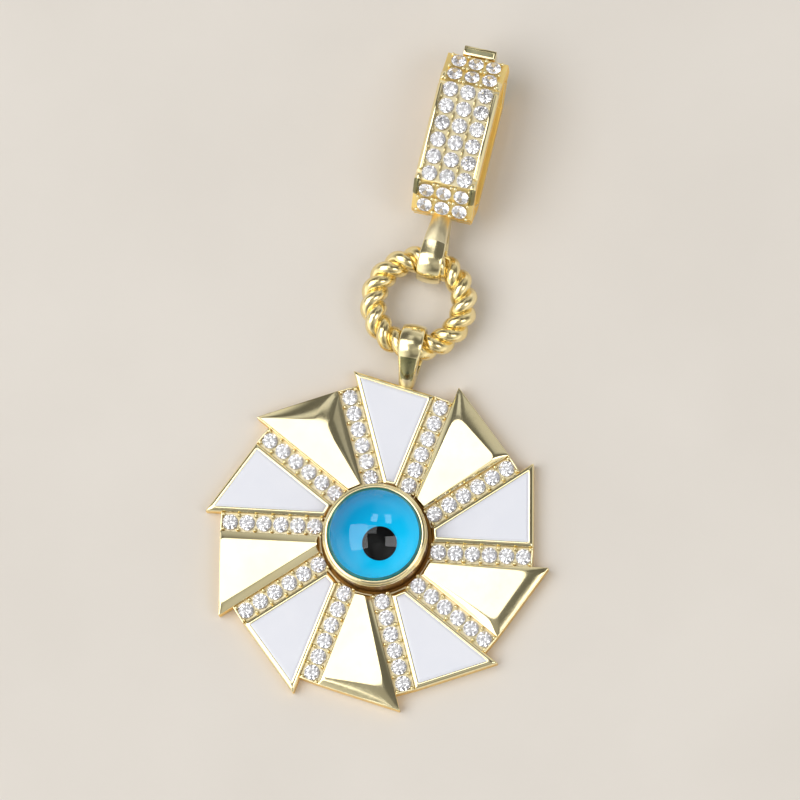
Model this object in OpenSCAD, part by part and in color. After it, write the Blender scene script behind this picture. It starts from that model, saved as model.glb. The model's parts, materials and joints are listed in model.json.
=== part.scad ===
// Evil eye pendant, lying face up: a cast pinwheel plate with a glass eye, white enamel and
// strips of stones, a twisted rope ring, and a hinged clasp set with three columns of stones.
// The origin is the middle of the plate's flat back. Y runs from the plate to the clasp.

/* [Pinwheel plate] */
// Distance from the centre to the tip of each blade
tip_r = 14.3; // [13.8:0.1:16]
// Distance from the centre to the outer end of each stone strip
strip_end_r = 12.85; // [12.4:0.05:13.4]
// Angle from the line of the loop to the first stone strip
first_turn = 24.8; // [21:0.1:27]
// Thickness of the plate under the stones
plate_t = 0.8; // [0.7:0.05:1.2]
// Height of the blades above the floor of the strips
blade_rise = 0.4; // [0.36:0.02:0.6]
// Width of the polished frame round each enamel panel
frame_w = 0.3; // [0.2:0.05:0.5]
// Depth of the enamel
enamel_t = 0.35; // [0.2:0.05:0.5]
// Rise of the gold pillows above the blades
pillow_rise = 0.35; // [0.15:0.05:0.5]
// Width of the sloping margin of a gold pillow
pillow_margin = 1; // [0.6:0.05:1.2]
// Flat ledge round the foot of a gold pillow
pillow_ledge = 0.12; // [0.08:0.02:0.2]

/* [Eye] */
// Diameter of the glass dome
glass_d = 8; // [7.6:0.1:8.4]
// Height of the lip of the setting above the back of the plate
lip_z = 3.2; // [2.8:0.1:3.8]
// How far the lip reaches in over the glass
lip_over = 0.2; // [0.1:0.05:0.3]
// Rise of the glass above the lip
dome_rise = 2; // [1.6:0.1:2.4]
// Wall of the setting
setting_wall = 0.25; // [0.2:0.05:0.5]
// Width of the trench round the setting
trench_w = 0.27; // [0.2:0.01:0.4]
// Diameter of the black pupil
pupil_d = 2; // [1.6:0.1:2.6]
// How far the pupil sits off the middle of the eye
pupil_off = 0.34; // [0:0.02:0.6]

/* [Stones] */
// Diameter of each cut stone
stone_d = 1.2; // [1:0.05:1.3]
// Smallest gap between two stones of a strip
stone_gap = 0.18; // [0.14:0.02:0.3]
// Gold left between a strip's stones and its walls
strip_side = 0.2; // [0.15:0.05:0.35]

/* [Rope ring] */
// Diameter of the ring at the middle of its wire
ring_d = 7.5; // [7:0.1:9]
// Thickness of the twisted wire
wire_d = 2.2; // [1.8:0.1:2.4]
// Ridges of the twist round the whole ring
rope_ridges = 16; // [12:1:20]

/* [Loops] */
// Play between the rope ring and the two loops
ring_play = 0.36; // [0.34:0.01:0.45]
// Thickness of the strands of the loops
strand_t = 0.45; // [0.4:0.05:0.7]
// Width of the plate's loop where it holds the ring
plate_loop_w = 1.9; // [1.5:0.1:2.1]
// Width of the plate's loop where it is soldered to the plate
plate_loop_foot_w = 1.35; // [1.1:0.05:1.8]
// Distance from the rim of the plate to the middle of its loop
plate_loop_reach = 3.2; // [3.1:0.1:4]
// Distance from the rim of the plate to the narrow end of the loop's opening
plate_loop_start = 1.5; // [1.3:0.1:1.7]
// Width of the clasp's loop where it holds the ring
clasp_loop_w = 2; // [1.7:0.1:2.2]
// Width of the clasp's loop where it meets the clasp
clasp_loop_foot_w = 1.6; // [1.4:0.05:2]
// Distance from the hinge to the middle of the clasp's loop
clasp_loop_reach = 4.4; // [4.2:0.05:5.5]

/* [Clasp] */
// Spacing of the clasp's stones along it
clasp_pitch = 1.47; // [1.42:0.01:1.6]
// Spacing of the three columns of stones
column_pitch = 1.47; // [1.42:0.01:1.6]
// Height of the stone bed above the surface that the clasp lies on
bed_z = 6.1; // [5.9:0.1:7]
// Angle of the front's slope at the loop end
low_angle = 50; // [46:1:52]
// Angle of the front's slope at the far end
far_angle = 26; // [22:1:34]
// Plain metal beyond the last stone at the loop end
loop_end = 0.72; // [0.66:0.02:1]
// Plain metal beyond the first stone at the far end
far_end = 0.85; // [0.7:0.05:1.2]
// Thickness of the front
front_t = 0.95; // [0.8:0.05:1]
// Thickness of the gate at the back
gate_t = 0.8; // [0.6:0.05:0.9]
// Width of the gate
gate_w = 4.9; // [4.5:0.1:5]
// Width of each side rail
rail_w = 0.45; // [0.35:0.05:0.6]
// Height of the rails above the stone bed
rail_h = 0.4; // [0.3:0.05:0.5]
// Length of the short rails on the slope at the loop end
low_rail_l = 1.4; // [1:0.05:2.2]
// How far these short rails reach past the bend onto the flat
low_rail_over = 0.5; // [0.4:0.05:1]
// Length of the short rails on the slope at the far end
far_rail_l = 0.85; // [0.7:0.05:1.5]
// Diameter of the hinge pin
pin_d = 0.8; // [0.6:0.05:0.9]
// Radius of the hinge knuckles
knuckle_r = 0.85; // [0.75:0.05:0.95]
// Width of the front's middle knuckle
knuckle_w = 2.4; // [2.2:0.1:2.7]
// Width of the nail tab at the far end of the gate
tab_w = 2.7; // [2:0.05:3]
// How far the nail tab stands out
tab_reach = 0.9; // [0.6:0.05:1.2]

/* [Hidden] */
$fn = 48;

// Small gaps between pieces that only lie together, and the running gaps of the hinge.
fit = 0.03;
pin_fit = 0.02;
hinge_fit = 0.05;
gate_gap = 0.1;
// Depth by which joined solids reach into each other.
sink = 0.3;

// Plate
blade_count = 10;
blade_step = 360 / blade_count;
strip_w = stone_d + 2 * strip_side;
blade_z = plate_t + blade_rise;
glass_r = glass_d / 2;
setting_r = glass_r + fit + setting_wall;
well_r = setting_r + trench_w;
well_floor_z = plate_t - sink;
blade_in_r = well_r + frame_w;
tip_t = sqrt(tip_r * tip_r - strip_w * strip_w);
strip_wall = 0.14;

// Stones of a strip: as many as fit, spread evenly
row_out_t = strip_end_r - strip_wall - stone_d / 2 - fit;
row_in_r = well_r + stone_d / 2 + fit;
row_in_t = sqrt(row_in_r * row_in_r - strip_w * strip_w / 4);
row_stones = floor((row_out_t - row_in_t) / (stone_d + stone_gap)) + 1;
row_pitch = (row_out_t - row_in_t) / (row_stones - 1);

// Proportions of a cut stone, as shares of its diameter
table_share = 0.56;
crown_share = 0.15;
girdle_share = 0.05;
pavilion_share = 0.41;
seat_share = 0.75;
stone_facets = 8;
seat_r = stone_d * seat_share / 2;
// A stone's cone rests just above the edge of its seat.
stone_lift = fit + stone_d * (girdle_share / 2 + pavilion_share * (1 - seat_share));
seat_depth = stone_d * (girdle_share / 2 + pavilion_share) - stone_lift + 2 * fit;
grain_r = 0.22;
grain_h = 0.3;

// Eye: the dome is a cap of a sphere that passes just under the lip
lip_r = glass_r - lip_over;
dome_a = lip_r - fit;
dome_r = (dome_a * dome_a + dome_rise * dome_rise) / (2 * dome_rise);
dome_z = lip_z + dome_rise - dome_r;
cup_floor_z = plate_t;
iris_t = 0.12;
pupil_t = 0.06;
pupil_side = -45;
iris_z = cup_floor_z + fit;
pupil_z = iris_z + iris_t + fit;
glass_z = pupil_z + pupil_t + fit;

// Rope ring: two strands, whose lobes make the ridges
strands = 2;
wire_r = wire_d / 2;
strand_share = 0.7;
strand_r = wire_r * strand_share;
strand_off = wire_r - strand_r;
rope_turns = rope_ridges / strands;
rope_sides = 18;
rope_steps = 120;
// Where the last section meets the first, the twist has moved on by this many sides
rope_seam = round(rope_sides * rope_turns) % rope_sides;

// Loops: profiles in the YZ plane, a round eye drawn out to a narrow foot
eye_r = wire_r + ring_play;
loop_r = eye_r + strand_t;
foot_eye_r = 0.35;
// Solid metal between the narrow end of the clasp loop's opening and the knuckle
clasp_loop_solid = 1;

// Where the loop meets the rim of the plate, on the Y axis
rim_a = at_strip(0, tip_t, -strip_w);
rim_b = at_strip(1, strip_end_r, 0);
rim_y = rim_a[1] + (rim_b[1] - rim_a[1]) * (0 - rim_a[0]) / (rim_b[0] - rim_a[0]);
foot_r = blade_z / 2;
foot_eye_z = 1.16;
plate_loop_y = rim_y + plate_loop_reach;

// The ring passes through the plate's loop, and the clasp's loop round the ring. Each is
// turned a little where it lies, and the ring hangs a little below the middle of the loops.
ring_swing = 2.3;
clasp_place = 7;
clasp_turn = 3;
ring_sag = 0.08;
ring_r = ring_d / 2;
ring_z = loop_r - ring_sag;
ring_c = [-ring_r * sin(ring_swing), plate_loop_y + ring_r * cos(ring_swing)];
clasp_eye = ring_c + ring_r * [sin(clasp_place), cos(clasp_place)];

// Clasp: profile in its own YZ plane, from the loop end to the far end
flat_rows = 6;
bevel_rows = 2;
all_rows = flat_rows + 2 * bevel_rows;
bend = ((flat_rows - 1) * clasp_pitch + stone_d) / 2 + fit;
last_row = (all_rows - 1) * clasp_pitch / 2;
low_bevel = last_row + loop_end - bend;
far_bevel = last_row + far_end - bend;
low_y = bend + low_bevel * cos(low_angle);
far_y = bend + far_bevel * cos(far_angle);
low_z = bed_z - low_bevel * sin(low_angle);
far_z = bed_z - far_bevel * sin(far_angle);
end_wall = 1;
rail_gap = 0.05;
// Gap between a long rail and a short one, measured along the bed
rail_notch = 0.25;
clasp_w = 2 * column_pitch + stone_d + 2 * (rail_gap + rail_w);
rail_x = (clasp_w - rail_w) / 2;
// Inner face of the front
low_in_bend = bend - front_t * tan(low_angle / 2);
far_in_bend = bend - front_t * tan(far_angle / 2);
inner_z = bed_z - front_t;
low_in_y = low_y - end_wall;
far_in_y = far_y - end_wall;
low_in_z = inner_z - (low_in_y - low_in_bend) * tan(low_angle);
far_in_z = inner_z - (far_in_y - far_in_bend) * tan(far_angle);
// Hinge and gate
split_z = 2.9;
hinge_y = knuckle_r - low_y;
hinge_z = 2.5;
ear_x = knuckle_w / 2 + hinge_fit;
// The gate leaves its ears at these angles below the Y axis, on the outside and the inside
ear_out_a = 45;
ear_in_a = 20;
// Its flat back lies between gate_low_y and gate_far_y, and its far slope is as steep as it is long
gate_slope = 2.2;
gate_low_y = hinge_y + 1.08;
gate_far_y = far_y - gate_slope;
gate_far_z = gate_slope;
gate_slot_y = gate_low_y + 0.4;
clasp_y = clasp_loop_reach - hinge_y;
clasp_c = clasp_eye + clasp_y * [sin(clasp_turn), cos(clasp_turn)];

// Point of the plate at t along strip k and n to its left, seen from the front
function at_strip(k, t, n) =
    let (a = 90 + first_turn - k * blade_step)
    [t * cos(a) - n * sin(a), t * sin(a) + n * cos(a)];

// Outline of blade k, clockwise from its inner corner
function blade(k) = [
    at_strip(k, sqrt(blade_in_r * blade_in_r - strip_w * strip_w), -strip_w),
    at_strip(k, tip_t, -strip_w),
    at_strip(k + 1, strip_end_r, 0),
    at_strip(k + 1, blade_in_r, 0)
];

function unit(v) = v / norm(v);

// A clockwise outline with every edge moved inwards by d
function inset(p, d) = [
    for (i = [0:len(p) - 1])
        let (
            before = unit(p[i] - p[(i + len(p) - 1) % len(p)]),
            after = unit(p[(i + 1) % len(p)] - p[i]),
            n1 = [before[1], -before[0]],
            n2 = [after[1], -after[0]]
        )
        p[i] + d * (n1 + n2) / (1 + n1 * n2)
];

// Radius of the rope's section at the angle q from the crest of a strand
function lobe(q) =
    let (w = 360 / strands, a = abs(q - w * round(q / w)))
    strand_off * cos(a) + sqrt(max(0, strand_r * strand_r - pow(strand_off * sin(a), 2)));

// Four corners of the straight stretch between two round ends of a profile
function tangent_quad(c1, r1, c2, r2) =
    let (
        d = c2 - c1,
        turn = atan2(d[1], d[0]),
        lean = acos((r1 - r2) / norm(d))
    )
    [
        c1 + r1 * [cos(turn + lean), sin(turn + lean)],
        c2 + r2 * [cos(turn + lean), sin(turn + lean)],
        c2 + r2 * [cos(turn - lean), sin(turn - lean)],
        c1 + r1 * [cos(turn - lean), sin(turn - lean)]
    ];

module round_ended(c1, r1, c2, r2) {
    translate(c1) circle(r1);
    translate(c2) circle(r2);
    polygon(tangent_quad(c1, r1, c2, r2));
}

// A profile drawn as (Y, Z), w thick along X
module along_x(w) {
    translate([-w / 2, 0, 0]) rotate([90, 0, 90]) linear_extrude(w) children();
}

module in_clasp() {
    translate([clasp_c[0], clasp_c[1], 0]) rotate(-clasp_turn) children();
}

module in_strip(k) {
    rotate(90 + first_turn - k * blade_step) children();
}

// Cut stone with its girdle at z = 0: table, eight upper and eight lower crown facets,
// girdle, and a pointed pavilion
module cut_stone() {
    n = stone_facets;
    r = stone_d / 2;
    g = stone_d * girdle_share / 2;
    ring = [for (i = [0:n - 1]) 360 * i / n];
    half = 180 / n;
    points = concat(
        [for (a = ring) [r * table_share * cos(a + half), r * table_share * sin(a + half),
            g + stone_d * crown_share]],
        [for (a = ring) [r * cos(a), r * sin(a), g]],
        [for (a = ring) [r * cos(a), r * sin(a), -g]],
        [[0, 0, -g - stone_d * pavilion_share]]
    );
    table = [[for (i = [n - 1:-1:0]) i]];
    stars = [for (i = [0:n - 1]) [i, (i + 1) % n, n + (i + 1) % n]];
    kites = [for (i = [0:n - 1]) [i, n + (i + 1) % n, n + i]];
    sides = [for (i = [0:n - 1]) [n + i, n + (i + 1) % n, 2 * n + (i + 1) % n, 2 * n + i]];
    cone = [for (i = [0:n - 1]) [2 * n + i, 2 * n + (i + 1) % n, 3 * n]];
    polyhedron(points, concat(table, stars, kites, sides, cone));
}

// Places of the stones and of the grains of one strip
module at_row_stones(k) {
    in_strip(k)
        for (i = [0:row_stones - 1])
            translate([row_in_t + i * row_pitch, -strip_w / 2, plate_t]) children();
}

module at_row_grains(k) {
    in_strip(k)
        for (i = [0:row_stones - 2], side = [-1, 1])
            translate([
                row_in_t + (i + 0.5) * row_pitch,
                -strip_w / 2 + side * (strip_w / 2 - 0.8 * grain_r),
                plate_t
            ])
                children();
}

module seat() {
    translate([0, 0, -seat_depth]) cylinder(h = seat_depth + blade_rise, r = seat_r);
}

module grain() {
    translate([0, 0, -grain_h]) cylinder(h = 2 * grain_h, r = grain_r, $fn = 24);
}

// A gold pillow: the blade's inset outline with a sloping margin on every side
module pillow(k) {
    p = inset(blade(k), pillow_ledge);
    slope = atan2(pillow_rise, pillow_margin);
    size = 3 * tip_r;
    difference() {
        translate([0, 0, plate_t]) linear_extrude(blade_rise + pillow_rise) polygon(p);
        for (i = [0:len(p) - 1]) {
            q = p[(i + 1) % len(p)] - p[i];
            translate([p[i][0], p[i][1], blade_z])
                rotate([0, 0, atan2(q[1], q[0])])
                    rotate([-slope, 0, 0])
                        translate([-size / 2, -size / 2, 0])
                            cube([size, size, size]);
        }
    }
}

// Space of an enamel panel h high, smaller by gap than its frame
module panel(k, gap, h) {
    translate([0, 0, blade_z - enamel_t + gap])
        linear_extrude(h) polygon(inset(blade(k), frame_w + gap));
}

// Space of the glass and of what lies under it, grown by gap
module eye_space(gap) {
    intersection() {
        translate([0, 0, cup_floor_z]) cylinder(h = lip_z + dome_rise, r = glass_r + gap);
        translate([0, 0, dome_z]) sphere(dome_r + gap);
    }
    translate([0, 0, cup_floor_z]) cylinder(h = lip_z / 2 - cup_floor_z, r = glass_r + gap);
}

module plate_loop() {
    eye = [plate_loop_y, loop_r];
    foot = [rim_y + foot_r / 2, foot_r];
    eye_foot = [rim_y + plate_loop_start, foot_eye_z];
    intersection() {
        along_x(plate_loop_w)
            difference() {
                round_ended(eye, loop_r, foot, foot_r);
                round_ended(eye, eye_r, eye_foot, foot_eye_r);
            }
        linear_extrude(3 * loop_r)
            polygon([
                [-plate_loop_foot_w / 2, rim_y - foot_r],
                [-plate_loop_w / 2, plate_loop_y],
                [-plate_loop_w / 2, plate_loop_y + 2 * loop_r],
                [plate_loop_w / 2, plate_loop_y + 2 * loop_r],
                [plate_loop_w / 2, plate_loop_y],
                [plate_loop_foot_w / 2, rim_y - foot_r]
            ]);
    }
}

// Cast plate with the eye's setting and the loop, soldered into one
module pinwheel() {
    color("gold")
        difference() {
            union() {
                difference() {
                    linear_extrude(blade_z)
                        polygon([
                            for (k = [0:blade_count - 1]) each [
                                at_strip(k, strip_end_r, 0),
                                at_strip(k, strip_end_r, -strip_w),
                                at_strip(k, tip_t, -strip_w)
                            ]
                        ]);
                    for (k = [0:blade_count - 1])
                        in_strip(k)
                            translate([0, -strip_w, plate_t])
                                cube([strip_end_r - strip_wall, strip_w, blade_z]);
                    for (k = [0:2:blade_count - 1]) panel(k, 0, blade_z);
                    translate([0, 0, well_floor_z]) cylinder(h = blade_z, r = well_r);
                }
                for (k = [1:2:blade_count - 1]) pillow(k);
                for (k = [0:blade_count - 1]) at_row_grains(k) grain();
                translate([0, 0, well_floor_z - sink / 2])
                    cylinder(h = lip_z - well_floor_z + sink / 2, r = setting_r);
                plate_loop();
            }
            eye_space(fit);
            for (k = [0:blade_count - 1]) at_row_stones(k) seat();
        }
}

module eye_glass() {
    color("deepskyblue")
        intersection() {
            translate([0, 0, glass_z]) cylinder(h = lip_z + dome_rise, r = glass_r);
            translate([0, 0, dome_z]) sphere(dome_r);
        }
}

module eye_iris() {
    color("royalblue") translate([0, 0, iris_z]) cylinder(h = iris_t, r = glass_r - fit);
}

module eye_pupil() {
    color("black")
        rotate(pupil_side)
            translate([pupil_off, 0, pupil_z]) cylinder(h = pupil_t, r = pupil_d / 2);
}

// White panel number i, on every second blade
module enamel(i) {
    color("white") panel(2 * (i - 1), fit, enamel_t);
}

module stone_row(i) {
    color("lavender")
        at_row_stones(i - 1) translate([0, 0, stone_lift]) cut_stone();
}

// Rope ring: sections that turn with the twist on their way round
module twisted_ring() {
    n = rope_sides;
    m = rope_steps;
    points = [
        for (i = [0:m - 1], j = [0:n - 1])
            let (
                a = 360 * i / m,
                q = 360 * j / n,
                b = q - rope_turns * a,
                out = ring_r + lobe(q) * cos(b)
            )
            [out * cos(a), out * sin(a), lobe(q) * sin(b)]
    ];
    wall = [
        for (i = [0:m - 1], j = [0:n - 1])
            let (
                i2 = (i + 1) % m,
                j2 = (j + 1) % n,
                on = i2 == 0 ? n - rope_seam : 0,
                p = i * n + j,
                q = i * n + j2,
                r = i2 * n + (j2 + on) % n,
                s = i2 * n + (j + on) % n
            )
            each [[p, q, r], [p, r, s]]
    ];
    color("gold") translate([ring_c[0], ring_c[1], ring_z]) polyhedron(points, wall);
}

// Place on the clasp's stone bed at the distance s along it, measured from its middle
module on_bed(x, s) {
    past = max(0, abs(s) - bend);
    side = sign(s);
    slope = past == 0 ? 0 : side > 0 ? far_angle : low_angle;
    translate([
        x,
        side * (min(abs(s), bend) + past * cos(slope)),
        bed_z - past * sin(slope)
    ])
        rotate([-side * slope, 0, 0])
            children();
}

module at_clasp_stones() {
    for (row = [0:all_rows - 1], column = [-1:1])
        on_bed(column * column_pitch, (row - (all_rows - 1) / 2) * clasp_pitch) children();
}

// A rail from s1 to s2 along one side of the bed, with round ends
module rail(x, s1, s2) {
    l = s2 - s1 - rail_w;
    on_bed(x, (s1 + s2) / 2) {
        translate([-rail_w / 2, -l / 2, -sink]) cube([rail_w, l, rail_h + sink]);
        for (end = [-1, 1])
            translate([0, end * l / 2, -sink]) cylinder(h = rail_h + sink, r = rail_w / 2);
    }
}

// The short rail at the loop end, bent over from the flat to the slope
module low_rail(x) {
    bend_share = tan(low_angle / 2);
    along = [-cos(low_angle), -sin(low_angle)];
    up = [-sin(low_angle), cos(low_angle)];
    end = [-bend, bed_z] + low_rail_l * along;
    translate([x, 0, 0])
        along_x(rail_w)
            polygon([
                [-bend + low_rail_over, bed_z - sink],
                [-bend + low_rail_over, bed_z + rail_h],
                [-bend - rail_h * bend_share, bed_z + rail_h],
                end + rail_h * up,
                end - sink * up,
                [-bend + sink * bend_share, bed_z - sink]
            ]);
}

module front_profile() {
    difference() {
        polygon([
            [-low_y, split_z], [-low_y, low_z], [-bend, bed_z],
            [bend, bed_z], [far_y, far_z], [far_y, split_z]
        ]);
        polygon([
            [-low_in_y, split_z - end_wall], [-low_in_y, low_in_z], [-low_in_bend, inner_z],
            [far_in_bend, inner_z], [far_in_y, far_in_z], [far_in_y, split_z - end_wall]
        ]);
    }
}

module clasp_loop() {
    eye = [hinge_y - clasp_loop_reach, loop_r];
    hinge = [hinge_y, hinge_z];
    eye_foot = eye + unit(hinge - eye) * (clasp_loop_reach - knuckle_r - clasp_loop_solid);
    intersection() {
        along_x(clasp_loop_w)
            difference() {
                round_ended(eye, loop_r, hinge, knuckle_r);
                round_ended(eye, eye_r, eye_foot, foot_eye_r);
            }
        linear_extrude(3 * loop_r)
            polygon([
                [-clasp_loop_w / 2, eye[0] - 2 * loop_r],
                [-clasp_loop_w / 2, eye[0]],
                [-clasp_loop_foot_w / 2, hinge_y],
                [-clasp_loop_foot_w / 2, hinge_y + 2 * knuckle_r],
                [clasp_loop_foot_w / 2, hinge_y + 2 * knuckle_r],
                [clasp_loop_foot_w / 2, hinge_y],
                [clasp_loop_w / 2, eye[0]],
                [clasp_loop_w / 2, eye[0] - 2 * loop_r]
            ]);
    }
}

// A cylinder of radius r along the hinge's axis, from x1 to x2
module about_hinge(r, x1, x2) {
    translate([x1, hinge_y, hinge_z]) rotate([0, 90, 0]) cylinder(h = x2 - x1, r = r);
}

// Front of the clasp with its rails, middle knuckle and loop
module clasp_front() {
    color("gold")
        in_clasp()
            difference() {
                union() {
                    difference() {
                        along_x(clasp_w) front_profile();
                        for (side = [-1, 1])
                            translate([side * (knuckle_w / 2 + clasp_w), 0, 0])
                                about_hinge(knuckle_r + gate_gap, -clasp_w, clasp_w);
                    }
                    about_hinge(knuckle_r, -knuckle_w / 2, knuckle_w / 2);
                    for (x = [-rail_x, rail_x]) {
                        rail(x, -bend + low_rail_over + rail_notch, bend - rail_notch);
                        rail(x, bend, bend + far_rail_l);
                        low_rail(x);
                    }
                    clasp_loop();
                }
                about_hinge(pin_d / 2 + hinge_fit, -clasp_w, clasp_w);
                at_clasp_stones() seat();
            }
}

module clasp_stones() {
    color("lavender")
        in_clasp() at_clasp_stones() translate([0, 0, stone_lift]) cut_stone();
}

module gate_profile() {
    polygon([
        [hinge_y - knuckle_r * cos(ear_out_a), hinge_z - knuckle_r * sin(ear_out_a)],
        [gate_low_y, 0],
        [gate_far_y, 0],
        [far_y, gate_far_z],
        [far_y, split_z - gate_gap],
        [far_y - end_wall, split_z - gate_gap],
        [far_y - end_wall, gate_far_z + gate_t / 2],
        [gate_far_y - gate_t / 2, gate_t],
        [gate_low_y + gate_t / 2, gate_t],
        [hinge_y + knuckle_r * cos(ear_in_a), hinge_z - knuckle_r * sin(ear_in_a)]
    ]);
}

// Back of the clasp, which swings on the pin, with a tab for the fingernail
module clasp_gate() {
    color("goldenrod")
        in_clasp()
            difference() {
                union() {
                    along_x(gate_w) {
                        gate_profile();
                        translate([hinge_y, hinge_z]) circle(knuckle_r);
                    }
                    along_x(tab_w)
                        polygon([
                            [far_y - end_wall / 2, gate_far_z],
                            [far_y + gate_gap, gate_far_z],
                            [far_y + tab_reach, gate_far_z + tab_reach],
                            [far_y + tab_reach, far_z],
                            [far_y + gate_gap, far_z],
                            [far_y + gate_gap, split_z - gate_gap],
                            [far_y - end_wall / 2, split_z - gate_gap]
                        ]);
                }
                translate([-ear_x, -low_y - knuckle_r, -knuckle_r])
                    cube([2 * ear_x, gate_slot_y + low_y + knuckle_r, hinge_z + 3 * knuckle_r]);
                about_hinge(pin_d / 2 + pin_fit, -clasp_w, clasp_w);
            }
}

module hinge_pin() {
    color("gold") in_clasp() about_hinge(pin_d / 2, -gate_w / 2, gate_w / 2);
}

pinwheel();
eye_glass();
eye_iris();
eye_pupil();
enamel(1);  // enamel_1
enamel(2);  // enamel_2
enamel(3);  // enamel_3
enamel(4);  // enamel_4
enamel(5);  // enamel_5
stone_row(1);  // stone_row_1
stone_row(2);  // stone_row_2
stone_row(3);  // stone_row_3
stone_row(4);  // stone_row_4
stone_row(5);  // stone_row_5
stone_row(6);  // stone_row_6
stone_row(7);  // stone_row_7
stone_row(8);  // stone_row_8
stone_row(9);  // stone_row_9
stone_row(10);  // stone_row_10
twisted_ring();
clasp_front();
clasp_stones();
clasp_gate();
hinge_pin();
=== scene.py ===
import json
import math
import random

import bmesh
import bpy
from mathutils import Matrix, Vector

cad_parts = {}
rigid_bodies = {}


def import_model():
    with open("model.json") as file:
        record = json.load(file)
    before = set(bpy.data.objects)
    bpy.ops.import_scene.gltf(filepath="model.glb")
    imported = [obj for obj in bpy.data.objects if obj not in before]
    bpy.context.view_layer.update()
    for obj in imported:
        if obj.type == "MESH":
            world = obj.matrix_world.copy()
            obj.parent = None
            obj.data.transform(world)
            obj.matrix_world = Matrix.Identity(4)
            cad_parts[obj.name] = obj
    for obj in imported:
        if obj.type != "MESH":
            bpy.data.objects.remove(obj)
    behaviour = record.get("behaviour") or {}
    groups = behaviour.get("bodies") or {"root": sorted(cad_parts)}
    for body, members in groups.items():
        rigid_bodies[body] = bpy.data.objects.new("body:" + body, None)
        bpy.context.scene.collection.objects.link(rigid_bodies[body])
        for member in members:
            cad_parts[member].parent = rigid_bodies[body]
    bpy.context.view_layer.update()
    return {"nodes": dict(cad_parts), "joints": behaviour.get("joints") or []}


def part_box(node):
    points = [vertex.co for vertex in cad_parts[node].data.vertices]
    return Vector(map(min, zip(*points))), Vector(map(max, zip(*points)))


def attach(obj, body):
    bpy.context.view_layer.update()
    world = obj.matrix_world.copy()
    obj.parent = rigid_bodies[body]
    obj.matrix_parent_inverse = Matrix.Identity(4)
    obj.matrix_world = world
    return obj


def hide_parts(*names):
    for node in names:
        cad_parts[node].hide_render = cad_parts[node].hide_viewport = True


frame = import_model()
mm = 0.001  # sizes below are in millimetres, and the scene is in metres
dice = random.Random(7)
print("frame loaded:", len(frame["nodes"]), "nodes")


# Small helpers for outlines, rings of points and meshes

cornerSteps = 5
cornerShare = 0.45  # a rounded corner takes no more than this share of an edge
midRound = 0.3  # how far in the middle of a rounded edge lies, as a share of its radius
weldWithin = 1e-4
cutPast = 0.1  # cutters stand out of a surface by this
cutThrough = 1  # and by this where they cut right through
creaseFrom = 32  # degrees: an edge that turns by more is a crease
wallRise = 0.12  # the normal of an upright face rises or falls by less than this
levelRise = 0.5  # and that of a face that looks up or down by more than this


def smoothStep(low, high, value):
    u = min(1, max(0, (value - low) / (high - low)))
    return u * u * (3 - 2 * u)


def mix(a, b, u):
    return a + (b - a) * u


def insetCorners(points, insets):
    # each corner of a counter-clockwise outline, moved in from the edge before and after it
    moved = []
    for i, point in enumerate(points):
        before = (point - points[i - 1]).normalized()
        after = (points[(i + 1) % len(points)] - point).normalized()
        one, two = insets[i]
        turn = before.x * after.y - before.y * after.x
        moved.append(point + (after * one - before * two) / turn)
    return moved


def roundedOutline(points, insets, radii):
    # an inset is one distance, or a pair for the edges before and after the corner
    count = len(points)
    pairs = [d if isinstance(d, tuple) else (d, d) for d in insets]
    moved = insetCorners(points, pairs)
    ring = []
    for i, point in enumerate(moved):
        back = moved[i - 1] - point
        on = moved[(i + 1) % count] - point
        reach = radii[i] / math.tan(back.angle(on) / 2)
        reach = min(reach, cornerShare * back.length, cornerShare * on.length)
        start = point + back.normalized() * reach
        end = point + on.normalized() * reach
        for s in range(cornerSteps + 1):
            u = s / cornerSteps
            ring.append(start * (1 - u) ** 2 + point * 2 * u * (1 - u) + end * u * u)
    return ring


def atHeight(ring, z):
    return [Vector((p.x, p.y, z)) for p in ring]


def fullTurn(count):
    return [2 * math.pi * i / count for i in range(count)]


def rectangle(halfWidth, low, high):
    return [Vector((-halfWidth, low)), Vector((halfWidth, low)),
            Vector((halfWidth, high)), Vector((-halfWidth, high))]


def ringStack(bm, rings, place=None, closed=False):
    # joins rings of as many points each; the last is joined to the first, or both are filled
    loops = []
    for ring in rings:
        spots = [place @ p for p in ring] if place else ring
        loops.append([bm.verts.new(p * mm) for p in spots])
    following = loops[1:] + loops[:1] if closed else loops[1:]
    for low, high in zip(loops, following):
        for i in range(len(low)):
            j = (i + 1) % len(low)
            bm.faces.new((low[i], low[j], high[j], high[i]))
    if not closed:
        bm.faces.new(loops[0][::-1])
        bm.faces.new(loops[-1])


def lathe(bm, profile, steps=96, place=None):
    # turns a profile of (radius, height) about Z; a radius of nought is a point on the axis
    rings = []
    for radius, height in profile:
        rings.append([Vector((radius * math.cos(a), radius * math.sin(a), height))
                      for a in fullTurn(steps)])
    ringStack(bm, rings, place)
    bmesh.ops.remove_doubles(bm, verts=bm.verts, dist=weldWithin * mm)


def addObject(name, data):
    made = bpy.data.objects.new(name, data)
    bpy.context.scene.collection.objects.link(made)
    return made


def shadeEdges(bm, sharp):
    for edge in bm.edges:
        edge.smooth = edge.calc_face_angle(0) < math.radians(sharp)
    for face in bm.faces:
        face.smooth = True


def addMesh(name, bm):
    mesh = bpy.data.meshes.new(name)
    bm.to_mesh(mesh)
    bm.free()
    return addObject(name, mesh)


def finishPiece(name, bm, finishes, body="pendant", sharp=creaseFrom):
    bmesh.ops.recalc_face_normals(bm, faces=bm.faces)
    shadeEdges(bm, sharp)
    piece = addMesh(name, bm)
    for finish in finishes:
        piece.data.materials.append(finish)
    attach(piece, body)
    return piece


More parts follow.
